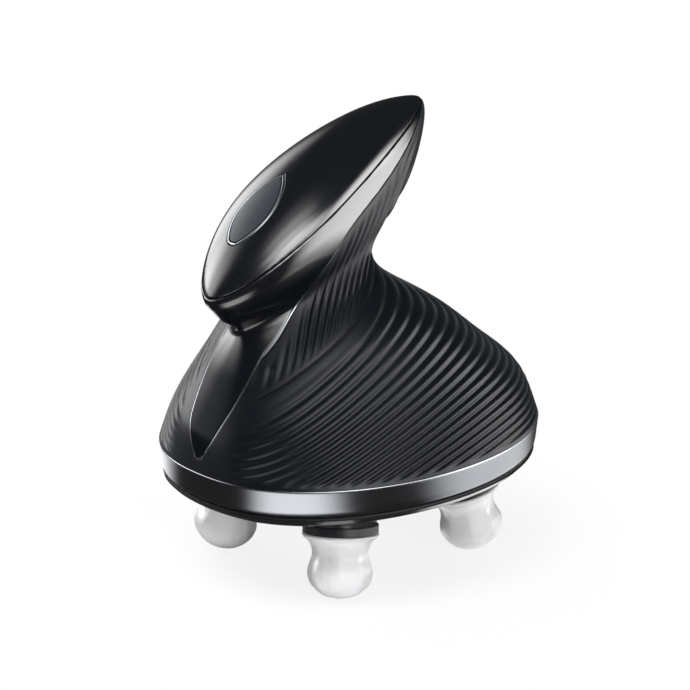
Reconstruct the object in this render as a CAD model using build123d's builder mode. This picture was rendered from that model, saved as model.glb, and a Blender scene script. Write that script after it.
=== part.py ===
from build123d import *

import os
from collections import namedtuple
from math import cos, hypot, pi, radians, sin, sqrt

# Electric scalp massager with four kneading heads. Millimetres, +Z up, the front is -Y.
# The origin is on the floor, under the middle of the base, and the heads' tips stand on the floor.
# Heights are built up from the heads: pivot, underside, ring, grip, neck and handle.

# --- kneading heads and their cranked spindles
head_tilt = 14.0  # each head leans outward from its spindle
bulb_radius = 8.5
bulb_round = 6.7  # radius of the bulb's section, so a small flat is left at its tip
bulb_reach = 15.5  # from the pivot, along the head's axis, to the bulb's widest place
waist_radius = 7.3
waist_reach = 10.2
rim_radius = 10.3
rim_reach = 4.8
facet_count = 8
facet_inradius = 8.15
collar_radius = 10.1
collar_thickness = 2.6
plug_radius = 5.0
plug_length = 10.0
spindle_radius = 2.5
stub_radius = 2.2
stub_reach = 12.0
knuckle_radius = 3.0
knuckle_gap = 0.4  # between the knuckle and the underside

# --- gear train
kneading_module = 0.75
sun_teeth = 48
satellite_teeth = 32
drive_module = 0.6
upper_wheel_teeth = 60
idler_pinion_teeth = 12
motor_module = 0.5
idler_wheel_teeth = 50
motor_pinion_teeth = 10
backlash = 0.22  # taken off each tooth's thickness at the pitch circle
spindle_direction = 46.6  # of the first head, seen from above
kneading_face = 4.0
drive_face = 3.0
gear_gap = 0.6  # between layers of the train

# --- base
floor_thickness = 2.2
bevel_height = 2.9
bevel_inset = 3.9
ring_height = 8.3
ring_taper = 0.8
ring_wall = 3.0
ring_edge = 0.8
gasket_thickness = 0.5
gasket_width = 1.3
upstand_height = 5.0
upstand_wall = 1.6
fit_gap = 0.1
dock_pad_radius = 12.0
dock_pad_height = 0.6
contact_radius = 1.5
contact_spacing = 16.0

# --- outer form: the base oval, the neck oval and the handle's rim oval
base_length = 107.6
base_width = 90.0
base_fullness = 0.85  # exponent of the sine: 1 is an ellipse, less is squarer
base_egg = -0.04  # above 0 the front is the wider end
neck_rise = 44.3  # above the ring's top
neck_offset = -18.3
neck_length = 45.2
neck_width = 27.0
neck_tilt = 22.5
neck_egg = -0.43
handle_rise = 66.2
handle_offset = -11.5
handle_length = 84.8
handle_width = 31.0
handle_tilt = 28.1
handle_fullness = 1.15
handle_egg = 0.20
rim_bow = 4.2  # the rim's middle stands this far above its ends
cover_crown = 8.4

# Each row is one oval between two of those: its share of the way up, of the change in length
# and of the change in width.
flank_rows = (
    (0.13, 0.06, 0.035),
    (0.29, 0.16, 0.10),
    (0.46, 0.38, 0.22),
    (0.64, 0.62, 0.41),
    (0.82, 0.90, 0.68),
)
stem_rows = ((0.37, 0.50, 0.0), (0.71, 0.86, 0.825))
stem_lead = 1.2  # the stem's ovals move back sooner than they lengthen
cover_rows = (20, 40, 58, 72, 83)  # degrees up the cover's crest curve; the last is a small flat
crest_power = 0.73
crown_power = 0.6
outline_points = 24

# --- walls
skin_thickness = 1.6
shell_thickness = 2.2

# --- spine: the glossy band along the handle that runs down into a tapered front panel
spine_curve = (
    (30.0, 128.0),
    (13.0, 115.3),
    (-4.4, 104.5),
    (-14.1, 97.4),
    (-22.3, 85.7),
    (-31.9, 72.9),
    (-38.1, 66.9),
)
panel_outline = ((8.5, 66.9), (7.7, 58.1), (5.0, 47.3))
panel_tip = 40.5
panel_tip_half_width = 1.6
panel_tip_rise = 0.7
panel_overlap = 4.0  # the panel's outline runs this far up behind the side view's edge

# --- ribs: grooves where evenly spaced tilted planes cross the skin, mirrored left to right
rib_width = 0.9
rib_depth = 0.4
rib_spacing = 2.857
rib_heading = 41.0  # of the planes' normal, seen from above, from +X toward +Y
rib_fall = 54.4  # of the planes' normal below the horizon
rib_margin = 1.6  # of plain skin beside the front panel's widest place
rib_foot = 1.2  # of plain skin above the ring
crease_height = 86.6  # where the crease's plane meets the origin's vertical
crease_fall = 34.0  # of the crease toward the front
crease_width = 0.6

# --- power button
button_place = -18.0  # along the handle, from its middle
button_height = 10.9  # above the rim plane
button_slope = 13.0  # more than the handle's tilt
button_length = 21.6
button_width = 9.6
almond_belly = 0.025  # the widest place lies this share of the length below the middle
button_proud = 0.3
button_gap = 0.3
button_cap = 1.5
bezel_width = 0.6
button_travel = 0.5
stem_radius = 1.6
switch_size = 6.0
switch_height = 3.4
switch_plunger = 1.0
switch_shift = 3.6  # up the board, onto the button's own axis
board_drop = 0.6  # of the board's top below the rim plane
board_length = 50.0
board_thickness = 1.0
board_gap = 1.2

# --- carriers, drive and battery
plate_thickness = 2.0
plate_gap = 1.2
bush_radius = 4.0
bush_height = 2.8
bush_clearance = 0.03
seal_radius = 5.0
seal_height = 1.0
boss_wall = 2.0
axle_radius = 2.0
idler_shaft_radius = 1.5
running_gap = 0.04
thrust_gap = 0.3
post_radius = 3.2
case_screw_radius = 1.1
case_screw_head = 2.2
case_screw_grip = 7.0
screw_recess = 1.6
post_gap = 1.0
post_rise = 30.0  # more than the posts need: they end inside the shell's wall
sun_boss_radius = 5.0
bracket_width = 34.0
bracket_thickness = 1.7
bracket_ear = 2.6
bracket_post_radius = 2.5
bracket_screw_radius = 1.0
motor_radius = 12.0
motor_length = 20.0
motor_shaft_radius = 1.0
motor_boss_radius = 3.0
battery_radius = 7.0
battery_length = 49.0
battery_place = 24.0
cradle_wall = 1.6
saddle_width = 6.0
saddle_spacing = 30.0

# --- worked out from the above
sun_pitch_radius = kneading_module * sun_teeth / 2
satellite_pitch_radius = kneading_module * satellite_teeth / 2
spindle_orbit = sun_pitch_radius + satellite_pitch_radius
idler_distance = drive_module * (upper_wheel_teeth + idler_pinion_teeth) / 2
motor_distance = motor_module * (idler_wheel_teeth + motor_pinion_teeth) / 2
motor_y = -(idler_distance - motor_distance)
idler_y = -idler_distance

lean = radians(head_tilt)
tip_radius = bulb_radius - bulb_round
bulb_drop = tip_radius * sin(lean) + bulb_round
pivot_z = bulb_reach * cos(lean) + bulb_drop
underside_z = pivot_z + knuckle_radius + knuckle_gap
floor_z = underside_z + floor_thickness
ring_bottom_z = underside_z + bevel_height
base_top_z = ring_bottom_z + ring_height

kneading_z = underside_z + seal_height + bush_height + gear_gap
upper_wheel_z = kneading_z + kneading_face + gear_gap
plate_z = upper_wheel_z + drive_face + gear_gap
plate_top_z = plate_z + plate_thickness
idler_wheel_z = plate_top_z + gear_gap
bracket_z = idler_wheel_z + drive_face + gear_gap
motor_z = bracket_z + bracket_thickness

spindle_angles = (
    spindle_direction,
    180 - spindle_direction,
    180 + spindle_direction,
    360 - spindle_direction,
)
spindle_places = [
    (spindle_orbit * cos(radians(angle)), spindle_orbit * sin(radians(angle)))
    for angle in spindle_angles
]

Oval = namedtuple("Oval", "y z tilt half_length half_width fullness egg")
base_oval = Oval(0, base_top_z, 0, base_length / 2, base_width / 2, base_fullness, base_egg)
neck_oval = Oval(
    neck_offset, base_top_z + neck_rise, neck_tilt, neck_length / 2, neck_width / 2, 1.0, neck_egg
)
rim_oval = Oval(
    handle_offset,
    base_top_z + handle_rise,
    handle_tilt,
    handle_length / 2,
    handle_width / 2,
    handle_fullness,
    handle_egg,
)

os.makedirs("parts", exist_ok=True)


def write(piece, name):
    """Label one finished piece and write its STEP file."""
    piece.part.label = name
    export_step(piece.part, f"parts/{name}.step")


# ---------------------------------------------------------------- outer form


def between(low, high, rise, length_share, width_share, tilt_share, offset_share):
    """The oval part of the way from one to the other."""

    def mix(field, share):
        return getattr(low, field) + share * (getattr(high, field) - getattr(low, field))

    return Oval(
        mix("y", offset_share),
        mix("z", rise),
        mix("tilt", tilt_share),
        mix("half_length", length_share),
        mix("half_width", width_share),
        mix("fullness", rise),
        mix("egg", rise),
    )


def cover_oval(turn):
    """The cover's oval at an angle on its crest curve: 0 is the rim plane, 90 the crest."""
    top = rim_bow + cover_crown
    length_share = cos(radians(turn))
    height = top * sin(radians(turn)) ** (2 * crest_power)
    above_rim = max(height - rim_bow, 0) / cover_crown
    width_share = sqrt(1 - above_rim ** (1 / crown_power))
    tilt = radians(handle_tilt)
    return Oval(
        rim_oval.y - height * sin(tilt),
        rim_oval.z + height * cos(tilt),
        handle_tilt,
        rim_oval.half_length * length_share,
        rim_oval.half_width * width_share,
        handle_fullness + (1 - handle_fullness) * height / top,
        handle_egg,
    )


def form_ovals():
    """The ovals of the outer form, from the ring's top to the handle's rim."""
    flank = [
        between(base_oval, neck_oval, rise, long, wide, rise**2, long)
        for rise, long, wide in flank_rows
    ]
    stem = [
        between(neck_oval, rim_oval, rise, long, wide, rise, min(1, stem_lead * long))
        for rise, long, wide in stem_rows
    ]
    return [base_oval, *flank, neck_oval, *stem, rim_oval]


def oval_plane(oval):
    """The tilted plane an oval is drawn in, with its local Y to the rear."""
    tilt = radians(oval.tilt)
    return Plane(origin=(0, oval.y, oval.z), x_dir=(1, 0, 0), z_dir=(0, -sin(tilt), cos(tilt)))


def oval_points(oval, inset):
    """Points round an oval, from its front end, drawn inward by the inset."""
    points = []
    for step in range(outline_points):
        turn = 2 * pi * step / outline_points
        side = 1 if sin(turn) >= 0 else -1
        swell = abs(sin(turn)) ** oval.fullness * (1 + oval.egg * cos(turn))
        points.append(
            (side * (oval.half_width - inset) * swell, -(oval.half_length - inset) * cos(turn))
        )
    return points


def oval_face(oval, inset, lift=0.0):
    """One oval as a flat face in its own plane, lowered along its normal by the lift."""
    # All the ovals share one even spacing of their knots, so that lofts between them stay smooth.
    knots = [step / outline_points for step in range(outline_points + 1)]
    curve = Edge.make_spline(oval_points(oval, inset), periodic=True, parameters=knots)
    with BuildSketch(oval_plane(oval).offset(-lift)) as outline:
        with BuildLine():
            add(curve)
        make_face()
    return outline.sketch


def build_form(inset, drop=0.0, ruled=False):
    """The outer form as one solid, drawn inward by the inset, its foot lowered by the drop."""
    # Hidden faces are ruled from oval to oval, and the ones that show are smooth.
    body = [oval_face(base_oval._replace(z=base_oval.z - drop), inset)]
    body += [oval_face(oval, inset) for oval in form_ovals()[1:]]
    crown = [body[-1]]
    for turn in cover_rows:
        steep = cos(radians(turn))
        crown.append(oval_face(cover_oval(turn), inset * steep, inset * (1 - steep)))
    with BuildPart() as form:
        loft(sections=body, ruled=ruled)
        loft(sections=crown, ruled=ruled)
    return form.part


def flat_face(height, inset):
    """The base oval at another height, drawn inward by the inset."""
    return oval_face(base_oval._replace(z=height), inset)


def oval_slab(bottom, top, inset):
    """A flat-sided block in the base oval's outline."""
    with BuildPart() as slab:
        extrude(flat_face(bottom, inset), amount=top - bottom)
    return slab.part


outer_form = build_form(0)
inner_form = build_form(skin_thickness, drop=2.0, ruled=True)
core_form = build_form(skin_thickness + shell_thickness, drop=2.0, ruled=True)
proud_form = build_form(-button_proud)
button_floor_form = build_form(skin_thickness - fit_gap, ruled=True)

handle_plane = oval_plane(rim_oval)
reach = base_length  # past every wall


def rim_point(place, height):
    """A point of the side view (y, z), from its place along the handle and above the rim plane."""
    point = handle_plane.from_local_coords((0, place, height))
    return (point.Y, point.Z)


with BuildPart() as cover_zone:
    with BuildSketch(Plane.YZ):
        with BuildLine():
            seam = ThreePointArc(
                rim_point(-rim_oval.half_length - 1, 0),
                rim_point(0, rim_bow),
                rim_point(rim_oval.half_length + 1, 0),
            )
            Polyline(
                seam @ 1,
                rim_point(rim_oval.half_length + 1, reach / 2),
                rim_point(-rim_oval.half_length - 1, reach / 2),
                seam @ 0,
            )
        make_face()
    extrude(amount=reach, both=True)

with BuildPart() as spine_zone:
    with BuildSketch(Plane.YZ):
        with BuildLine():
            edge = Spline(*spine_curve)
            front = -base_length
            Polyline(edge @ 1, (front, spine_curve[-1][1]), (front, spine_curve[0][1]), edge @ 0)
        make_face()
    extrude(amount=reach, both=True)
    with BuildSketch(Plane.XZ):
        with BuildLine():
            top_corner = (panel_outline[0][0], panel_outline[0][1] + panel_overlap)
            side = Spline(top_corner, *panel_outline, (panel_tip_half_width, panel_tip + panel_tip_rise))
            ThreePointArc(side @ 1, (0, panel_tip), (-panel_tip_half_width, panel_tip + panel_tip_rise))
            mirror(side, about=Plane.YZ)
            Line(side @ 0, (-top_corner[0], top_corner[1]))
        make_face()
    extrude(amount=base_length)

with BuildPart() as outer_wall:
    add(outer_form)
    add(inner_form, mode=Mode.SUBTRACT)

with BuildPart() as lower_wall:
    add(outer_wall.part)
    add(cover_zone.part, mode=Mode.SUBTRACT)

# The grooves run up to the crease, a plane that falls toward the front.
crease_normal = Vector(0, -sin(radians(crease_fall)), cos(radians(crease_fall)))
crease_plane = Plane(origin=(0, 0, crease_height), x_dir=(1, 0, 0), z_dir=crease_normal)


def falling_normal(heading, fall):
    """A unit vector from its heading and its fall below the horizon."""
    level = cos(radians(fall))
    return Vector(cos(radians(heading)) * level, sin(radians(heading)) * level, -sin(radians(fall)))


def groove_slabs(normal, nearest, farthest, spacing):
    """Evenly spaced slabs square to the normal, that cover two points' distances along it."""
    first = int(normal.dot(Vector(*farthest)) / spacing) - 1
    last = int(normal.dot(Vector(*nearest)) / spacing) + 1
    with BuildPart() as slabs:
        for step in range(first, last + 1):
            with BuildSketch(Plane(origin=normal * (step * spacing), z_dir=normal)):
                Rectangle(4 * reach, 4 * reach)
            extrude(amount=rib_width)
    return slabs.part


with BuildPart() as flank_grooves:
    add(
        groove_slabs(
            falling_normal(rib_heading, rib_fall),
            (base_oval.half_width, base_oval.half_length / 2, base_top_z),
            (0, -base_oval.half_length / 2, neck_oval.z),
            rib_spacing,
        )
    )
    with Locations((panel_outline[0][0] + rib_margin, 0, base_top_z + rib_foot)):
        Box(reach, 3 * reach, reach, align=(Align.MIN, Align.CENTER, Align.MIN), mode=Mode.INTERSECT)
    split(bisect_by=crease_plane.offset(-crease_width), keep=Keep.BOTTOM)

with BuildPart() as half_grooves:
    add(flank_grooves.part)
    with BuildSketch(crease_plane):
        with Locations((panel_outline[0][0] + rib_margin, 0)):
            Rectangle(reach, 2 * reach, align=(Align.MIN, Align.CENTER))
    extrude(amount=crease_width / 2, both=True)
    add(build_form(rib_depth, drop=2.0), mode=Mode.SUBTRACT)

with BuildPart() as half_skin:
    add(lower_wall.part)
    add(spine_zone.part, mode=Mode.SUBTRACT)
    Box(reach, 4 * reach, 4 * reach, align=(Align.MIN, Align.CENTER, Align.CENTER), mode=Mode.INTERSECT)
    add(half_grooves.part, mode=Mode.SUBTRACT)

with BuildPart() as grip_skin:
    add(half_skin.part)
    mirror(half_skin.part, about=Plane.YZ)
write(grip_skin, "grip_skin")

with BuildPart() as front_spine:
    add(lower_wall.part)
    add(spine_zone.part, mode=Mode.INTERSECT)
write(front_spine, "front_spine")

# Four posts grow down from the shell; the case screws clamp the gear plate under them.
post_inset = ring_wall + fit_gap + upstand_wall + post_radius + post_gap
post_places = (
    (base_oval.half_width - post_inset, 0),
    (0, base_oval.half_length - post_inset),
    (post_inset - base_oval.half_width, 0),
    (0, post_inset - base_oval.half_length),
)

with BuildPart() as shell_posts:
    with Locations(*[(x, y, plate_top_z) for x, y in post_places]):
        Cylinder(post_radius, post_rise, align=(Align.CENTER, Align.CENTER, Align.MIN))
    add(inner_form, mode=Mode.INTERSECT)

with BuildPart() as body_shell:
    add(inner_form)
    add(core_form, mode=Mode.SUBTRACT)
    add(cover_zone.part, mode=Mode.SUBTRACT)
    with Locations((0, 0, base_top_z)):
        Box(
            2 * reach,
            2 * reach,
            4 * ring_height,
            align=(Align.CENTER, Align.CENTER, Align.MAX),
            mode=Mode.SUBTRACT,
        )
    add(shell_posts.part)
    with Locations(*[(x, y, plate_top_z) for x, y in post_places]):
        Cylinder(
            case_screw_radius,
            case_screw_grip,
            align=(Align.CENTER, Align.CENTER, Align.MIN),
            mode=Mode.SUBTRACT,
        )
write(body_shell, "body_shell")

# ---------------------------------------------------------------- cover and power button

button_plane = Plane(
    origin=handle_plane.from_local_coords((0, button_place, button_height)),
    x_dir=(1, 0, 0),
    z_dir=handle_plane.z_dir.rotate(Axis.X, button_slope),
)


# The button's outline is two side arcs that meet in a tip and run into a round lower end.
belly_y = -almond_belly * button_length
side_radius = ((button_length / 2 - belly_y) ** 2 + (button_width / 2) ** 2) / button_width
side_centre = side_radius - button_width / 2
lower_reach = button_length / 2 + belly_y
lower_radius = (side_radius**2 - side_centre**2 - lower_reach**2) / (2 * (side_radius - lower_reach))
lower_y = lower_radius - button_length / 2


def almond(margin):
    """The button's leaf outline, widened by the margin, as a bar through the cover."""
    outer_radius = side_radius + margin
    reach_share = outer_radius / (side_radius - lower_radius)
    joint = ((reach_share - 1) * side_centre, belly_y + reach_share * (lower_y - belly_y))
    tip_y = belly_y + sqrt(outer_radius**2 - side_centre**2)
    with BuildPart() as bar:
        with BuildSketch(button_plane):
            with BuildLine():
                side = ThreePointArc((0, tip_y), (button_width / 2 + margin, belly_y), joint)
                mirror(side, about=Plane.YZ)
                ThreePointArc(side @ 1, (0, -button_length / 2 - margin), (-joint[0], joint[1]))
            make_face()
        extrude(amount=reach / 10, both=True)
    return bar.part


with BuildPart() as top_cover:
    add(outer_wall.part)
    add(cover_zone.part, mode=Mode.INTERSECT)
    add(almond(button_gap + bezel_width), mode=Mode.SUBTRACT)
write(top_cover, "top_cover")

with BuildPart() as button_bezel:
    add(almond(button_gap + bezel_width))
    add(almond(button_gap), mode=Mode.SUBTRACT)
    add(proud_form, mode=Mode.INTERSECT)
    add(inner_form, mode=Mode.SUBTRACT)
write(button_bezel, "button_bezel")

board_plane = handle_plane.offset(-board_drop)
switch_spot = board_plane.to_local_coords(button_plane.origin)
switch_plane = Plane(
    origin=board_plane.from_local_coords((0, switch_spot.Y + switch_shift, 0)),
    x_dir=(1, 0, 0),
    z_dir=handle_plane.z_dir,
)
# The plunger meets the button's stem where the button's axis crosses the switch's top.
switch_top = switch_plane.offset(switch_height)
stem_start = button_plane.to_local_coords(switch_top.origin)

with BuildPart() as power_button:
    add(almond(0))
    add(proud_form, mode=Mode.INTERSECT)
    add(button_floor_form, mode=Mode.SUBTRACT)
    with BuildSketch(button_plane.offset(stem_start.Z + button_travel + thrust_gap)):
        with Locations((0, stem_start.Y)):
            Circle(stem_radius)
    extrude(amount=-stem_start.Z - button_travel - thrust_gap - button_cap / 2)
write(power_button, "power_button")

with BuildPart() as control_board:
    board_inset = skin_thickness + shell_thickness + board_gap
    extrude(oval_face(rim_oval, board_inset, board_drop), amount=-board_thickness)
    with BuildSketch(board_plane.offset(-board_thickness)):
        Rectangle(handle_width, board_length)
    extrude(amount=board_thickness, mode=Mode.INTERSECT)
write(control_board, "control_board")

with BuildPart() as tact_switch:
    with BuildSketch(switch_plane):
        Rectangle(switch_size, switch_size)
    extrude(amount=switch_height - switch_plunger)
    chamfer(tact_switch.edges().filter_by(GeomType.LINE), length=0.2)
    with BuildSketch(switch_plane.offset(switch_height - switch_plunger)):
        Circle(switch_size / 4)
    extrude(amount=switch_plunger)
write(tact_switch, "tact_switch")

# ---------------------------------------------------------------- base

with BuildPart() as base_ring:
    foot = ring_taper * (1 - ring_edge / ring_height)
    loft(
        sections=[
            flat_face(ring_bottom_z, ring_taper + ring_edge / 2),
            flat_face(ring_bottom_z + ring_edge, foot),
            flat_face(base_top_z, 0),
        ],
        ruled=True,
    )
    add(oval_slab(ring_bottom_z - 1, base_top_z + 1, ring_wall), mode=Mode.SUBTRACT)
write(base_ring, "base_ring")

rim_z = ring_bottom_z - gasket_thickness
with BuildPart() as base_gasket:
    add(oval_slab(rim_z, ring_bottom_z, ring_wall - gasket_width))
    add(oval_slab(rim_z - 1, ring_bottom_z + 1, ring_wall), mode=Mode.SUBTRACT)
write(base_gasket, "base_gasket")

bush_top_z = underside_z + seal_height + bush_height
with BuildPart() as under_cover:
    loft(
        sections=[
            flat_face(underside_z, bevel_inset),
            flat_face(underside_z + bevel_height * 0.3, bevel_inset * 0.62),
            flat_face(rim_z, ring_taper + 0.2),
        ],
        ruled=True,
    )
    add(oval_slab(rim_z - 0.5, rim_z + upstand_height, ring_wall + fit_gap))
    add(
        oval_slab(floor_z, rim_z + upstand_height, ring_wall + fit_gap + upstand_wall),
        mode=Mode.SUBTRACT,
    )
    with Locations((0, 0, underside_z - dock_pad_height)):
        Cylinder(dock_pad_radius, floor_thickness, align=(Align.CENTER, Align.CENTER, Align.MIN))
    with Locations(*[(x, y, floor_z - 1) for x, y in spindle_places]):
        Cylinder(
            bush_radius + boss_wall,
            bush_top_z - floor_z + 1,
            align=(Align.CENTER, Align.CENTER, Align.MIN),
        )
    with Locations(*[(x, y, underside_z) for x, y in spindle_places]):
        Cylinder(
            seal_radius,
            seal_height,
            align=(Align.CENTER, Align.CENTER, Align.MIN),
            mode=Mode.SUBTRACT,
        )
        Cylinder(bush_radius, reach, mode=Mode.SUBTRACT)
    with Locations(*[(x, y, floor_z - 1) for x, y in post_places]):
        Cylinder(post_radius, plate_z - floor_z + 1, align=(Align.CENTER, Align.CENTER, Align.MIN))
    with Locations(*[(x, y, underside_z) for x, y in post_places]):
        Cylinder(case_screw_radius + fit_gap, reach, mode=Mode.SUBTRACT)
        Cylinder(
            case_screw_head + fit_gap,
            2 * screw_recess,
            mode=Mode.SUBTRACT,
        )
    with Locations((0, 0, floor_z - 1)):
        Cylinder(
            sun_boss_radius,
            kneading_z - thrust_gap - floor_z + 1,
            align=(Align.CENTER, Align.CENTER, Align.MIN),
        )
        Cylinder(axle_radius, reach, align=(Align.CENTER, Align.CENTER, Align.MIN), mode=Mode.SUBTRACT)
    with Locations((contact_spacing / 2, 0, floor_z), (-contact_spacing / 2, 0, floor_z)):
        Cylinder(contact_radius, 4 * floor_thickness, mode=Mode.SUBTRACT)
write(under_cover, "under_cover")

with BuildPart() as charging_contacts:
    with Locations(
        (contact_spacing / 2, 0, underside_z - dock_pad_height),
        (-contact_spacing / 2, 0, underside_z - dock_pad_height),
    ):
        Cylinder(
            contact_radius,
            dock_pad_height + floor_thickness,
            align=(Align.CENTER, Align.CENTER, Align.MIN),
        )
write(charging_contacts, "charging_contacts")

with BuildPart() as case_screws:
    with Locations(*[(x, y, underside_z + screw_recess) for x, y in post_places]):
        Cylinder(
            case_screw_radius,
            plate_top_z + case_screw_grip - underside_z - screw_recess,
            align=(Align.CENTER, Align.CENTER, Align.MIN),
        )
        Cylinder(case_screw_head, screw_recess - 0.3, align=(Align.CENTER, Align.CENTER, Align.MAX))
write(case_screws, "case_screws")

# ---------------------------------------------------------------- gear plate, bushes and seals

with BuildPart() as gear_plate:
    add(oval_slab(plate_z, plate_top_z, ring_wall + fit_gap + upstand_wall + plate_gap))
    with Locations(*[(x, y, plate_z) for x, y in spindle_places]):
        Cylinder(bush_radius, reach, mode=Mode.SUBTRACT)
    with Locations(*[(x, y, plate_z) for x, y in post_places]):
        Cylinder(case_screw_radius + fit_gap, reach, mode=Mode.SUBTRACT)
    with Locations((0, 0, plate_z)):
        Cylinder(axle_radius, 2 * plate_thickness - 1, mode=Mode.SUBTRACT)
    with Locations((0, idler_y, plate_z)):
        Cylinder(idler_shaft_radius + running_gap, reach, mode=Mode.SUBTRACT)
write(gear_plate, "gear_plate")

with BuildPart() as spindle_bushes:
    for height, tall in ((underside_z + seal_height, bush_height), (plate_z, plate_thickness)):
        with Locations(*[(x, y, height) for x, y in spindle_places]):
            Cylinder(bush_radius, tall, align=(Align.CENTER, Align.CENTER, Align.MIN))
    with Locations(*[(x, y, plate_z) for x, y in spindle_places]):
        Cylinder(spindle_radius + bush_clearance, reach, mode=Mode.SUBTRACT)
write(spindle_bushes, "spindle_bushes")

with BuildPart() as shaft_seals:
    with Locations(*[(x, y, underside_z) for x, y in spindle_places]):
        Cylinder(seal_radius, seal_height, align=(Align.CENTER, Align.CENTER, Align.MIN))
        Cylinder(spindle_radius + bush_clearance, reach, mode=Mode.SUBTRACT)
write(shaft_seals, "shaft_seals")

with BuildPart() as sun_axle:
    with Locations((0, 0, floor_z - 1)):
        Cylinder(
            axle_radius,
            plate_z + plate_thickness - 0.5 - floor_z + 1,
            align=(Align.CENTER, Align.CENTER, Align.MIN),
        )
write(sun_axle, "sun_axle")

# ---------------------------------------------------------------- gears


def gear_face(centre, height, module, teeth, phase):
    """A spur gear's outline at a height; one tooth is centred on the phase angle."""
    pitch_radius = module * teeth / 2
    rings = (
        (pitch_radius - 1.2 * module, 0.75),
        (pitch_radius, 0.5 - backlash / (pi * module)),
        (pitch_radius + 0.9 * module, 0.24),
    )
    points = []
    for tooth in range(teeth):
        middle = radians(phase) + 2 * pi * tooth / teeth
        for side in (-1, 1):
            for radius, share in rings[::-side]:
                turn = middle + side * share * pi / teeth
                points.append((radius * cos(turn), radius * sin(turn)))
    with BuildSketch(Plane(origin=(*centre, height))) as outline:
        with BuildLine():
            Polyline(*points, close=True)
        make_face()
    return outline.sketch


def mating_phase(driver_phase, driver_teeth, driven_teeth, direction):
    """The phase that lets a gear in that direction mesh: its gap meets the driver's tooth."""
    driver_pitch = 360 / driver_teeth
    lead = (driver_phase - direction) % driver_pitch
    return direction + 180 - lead * driver_teeth / driven_teeth + 180 / driven_teeth


with BuildPart() as sun_gear:
    extrude(gear_face((0, 0), kneading_z, kneading_module, sun_teeth, 0), amount=kneading_face)
    extrude(gear_face((0, 0), upper_wheel_z, drive_module, upper_wheel_teeth, 0), amount=drive_face)
    with Locations((0, 0, kneading_z)):
        Cylinder(
            sun_boss_radius,
            upper_wheel_z + drive_face - kneading_z + gear_gap - thrust_gap,
            align=(Align.CENTER, Align.CENTER, Align.MIN),
        )
        Cylinder(axle_radius + running_gap, reach, mode=Mode.SUBTRACT)
write(sun_gear, "sun_gear")

idler_phase = mating_phase(0, upper_wheel_teeth, idler_pinion_teeth, 270)
with BuildPart() as idler_gear:
    extrude(
        gear_face((0, idler_y), idler_wheel_z, motor_module, idler_wheel_teeth, 90),
        amount=drive_face,
    )
    with Locations((0, idler_y, idler_wheel_z)):
        Cylinder(idler_shaft_radius, reach, mode=Mode.SUBTRACT)
write(idler_gear, "idler_gear")

with BuildPart() as idler_pinion:
    extrude(
        gear_face((0, idler_y), upper_wheel_z, drive_module, idler_pinion_teeth, idler_phase),
        amount=drive_face,
    )
    with Locations((0, idler_y, upper_wheel_z)):
        Cylinder(idler_shaft_radius, reach, mode=Mode.SUBTRACT)
write(idler_pinion, "idler_pinion")

with BuildPart() as idler_shaft:
    with Locations((0, idler_y, upper_wheel_z)):
        Cylinder(
            idler_shaft_radius,
            bracket_z + bracket_thickness - upper_wheel_z,
            align=(Align.CENTER, Align.CENTER, Align.MIN),
        )
write(idler_shaft, "idler_shaft")

pinion_phase = mating_phase(90, idler_wheel_teeth, motor_pinion_teeth, 90)
with BuildPart() as motor_pinion:
    extrude(
        gear_face((0, motor_y), idler_wheel_z, motor_module, motor_pinion_teeth, pinion_phase),
        amount=drive_face,
    )
    with Locations((0, motor_y, idler_wheel_z)):
        Cylinder(motor_shaft_radius, reach, mode=Mode.SUBTRACT)
write(motor_pinion, "motor_pinion")

with BuildPart() as motor_shaft:
    with Locations((0, motor_y, idler_wheel_z)):
        Cylinder(
            motor_shaft_radius,
            motor_z + motor_length / 2 - idler_wheel_z,
            align=(Align.CENTER, Align.CENTER, Align.MIN),
        )
write(motor_shaft, "motor_shaft")

# ---------------------------------------------------------------- spindles and heads

# The waist's hollow arc runs tangent into the bulb's round and up to the rim's edge.
bulb_drop_length = bulb_reach - waist_reach
neck_share = waist_radius - tip_radius
hollow_radius = (bulb_drop_length**2 + neck_share**2 - bulb_round**2) / (2 * (bulb_round - neck_share))
hollow_centre = waist_radius + hollow_radius
rim_edge_reach = waist_reach - sqrt(hollow_radius**2 - (hollow_centre - rim_radius) ** 2)
touch_share = hollow_radius / (hollow_radius + bulb_round)
touch_point = (
    hollow_centre + touch_share * (tip_radius - hollow_centre),
    waist_reach + touch_share * bulb_drop_length,
)


def head_plane(place, angle):
    """The head's own frame at its pivot: local Z runs down the leaning axis."""
    out = Vector(cos(radians(angle)), sin(radians(angle)), 0)
    axis = out * sin(lean) + Vector(0, 0, -1) * cos(lean)
    across = out * cos(lean) + Vector(0, 0, 1) * sin(lean)
    return Plane(origin=(*place, pivot_z), x_dir=across, z_dir=axis)


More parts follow.
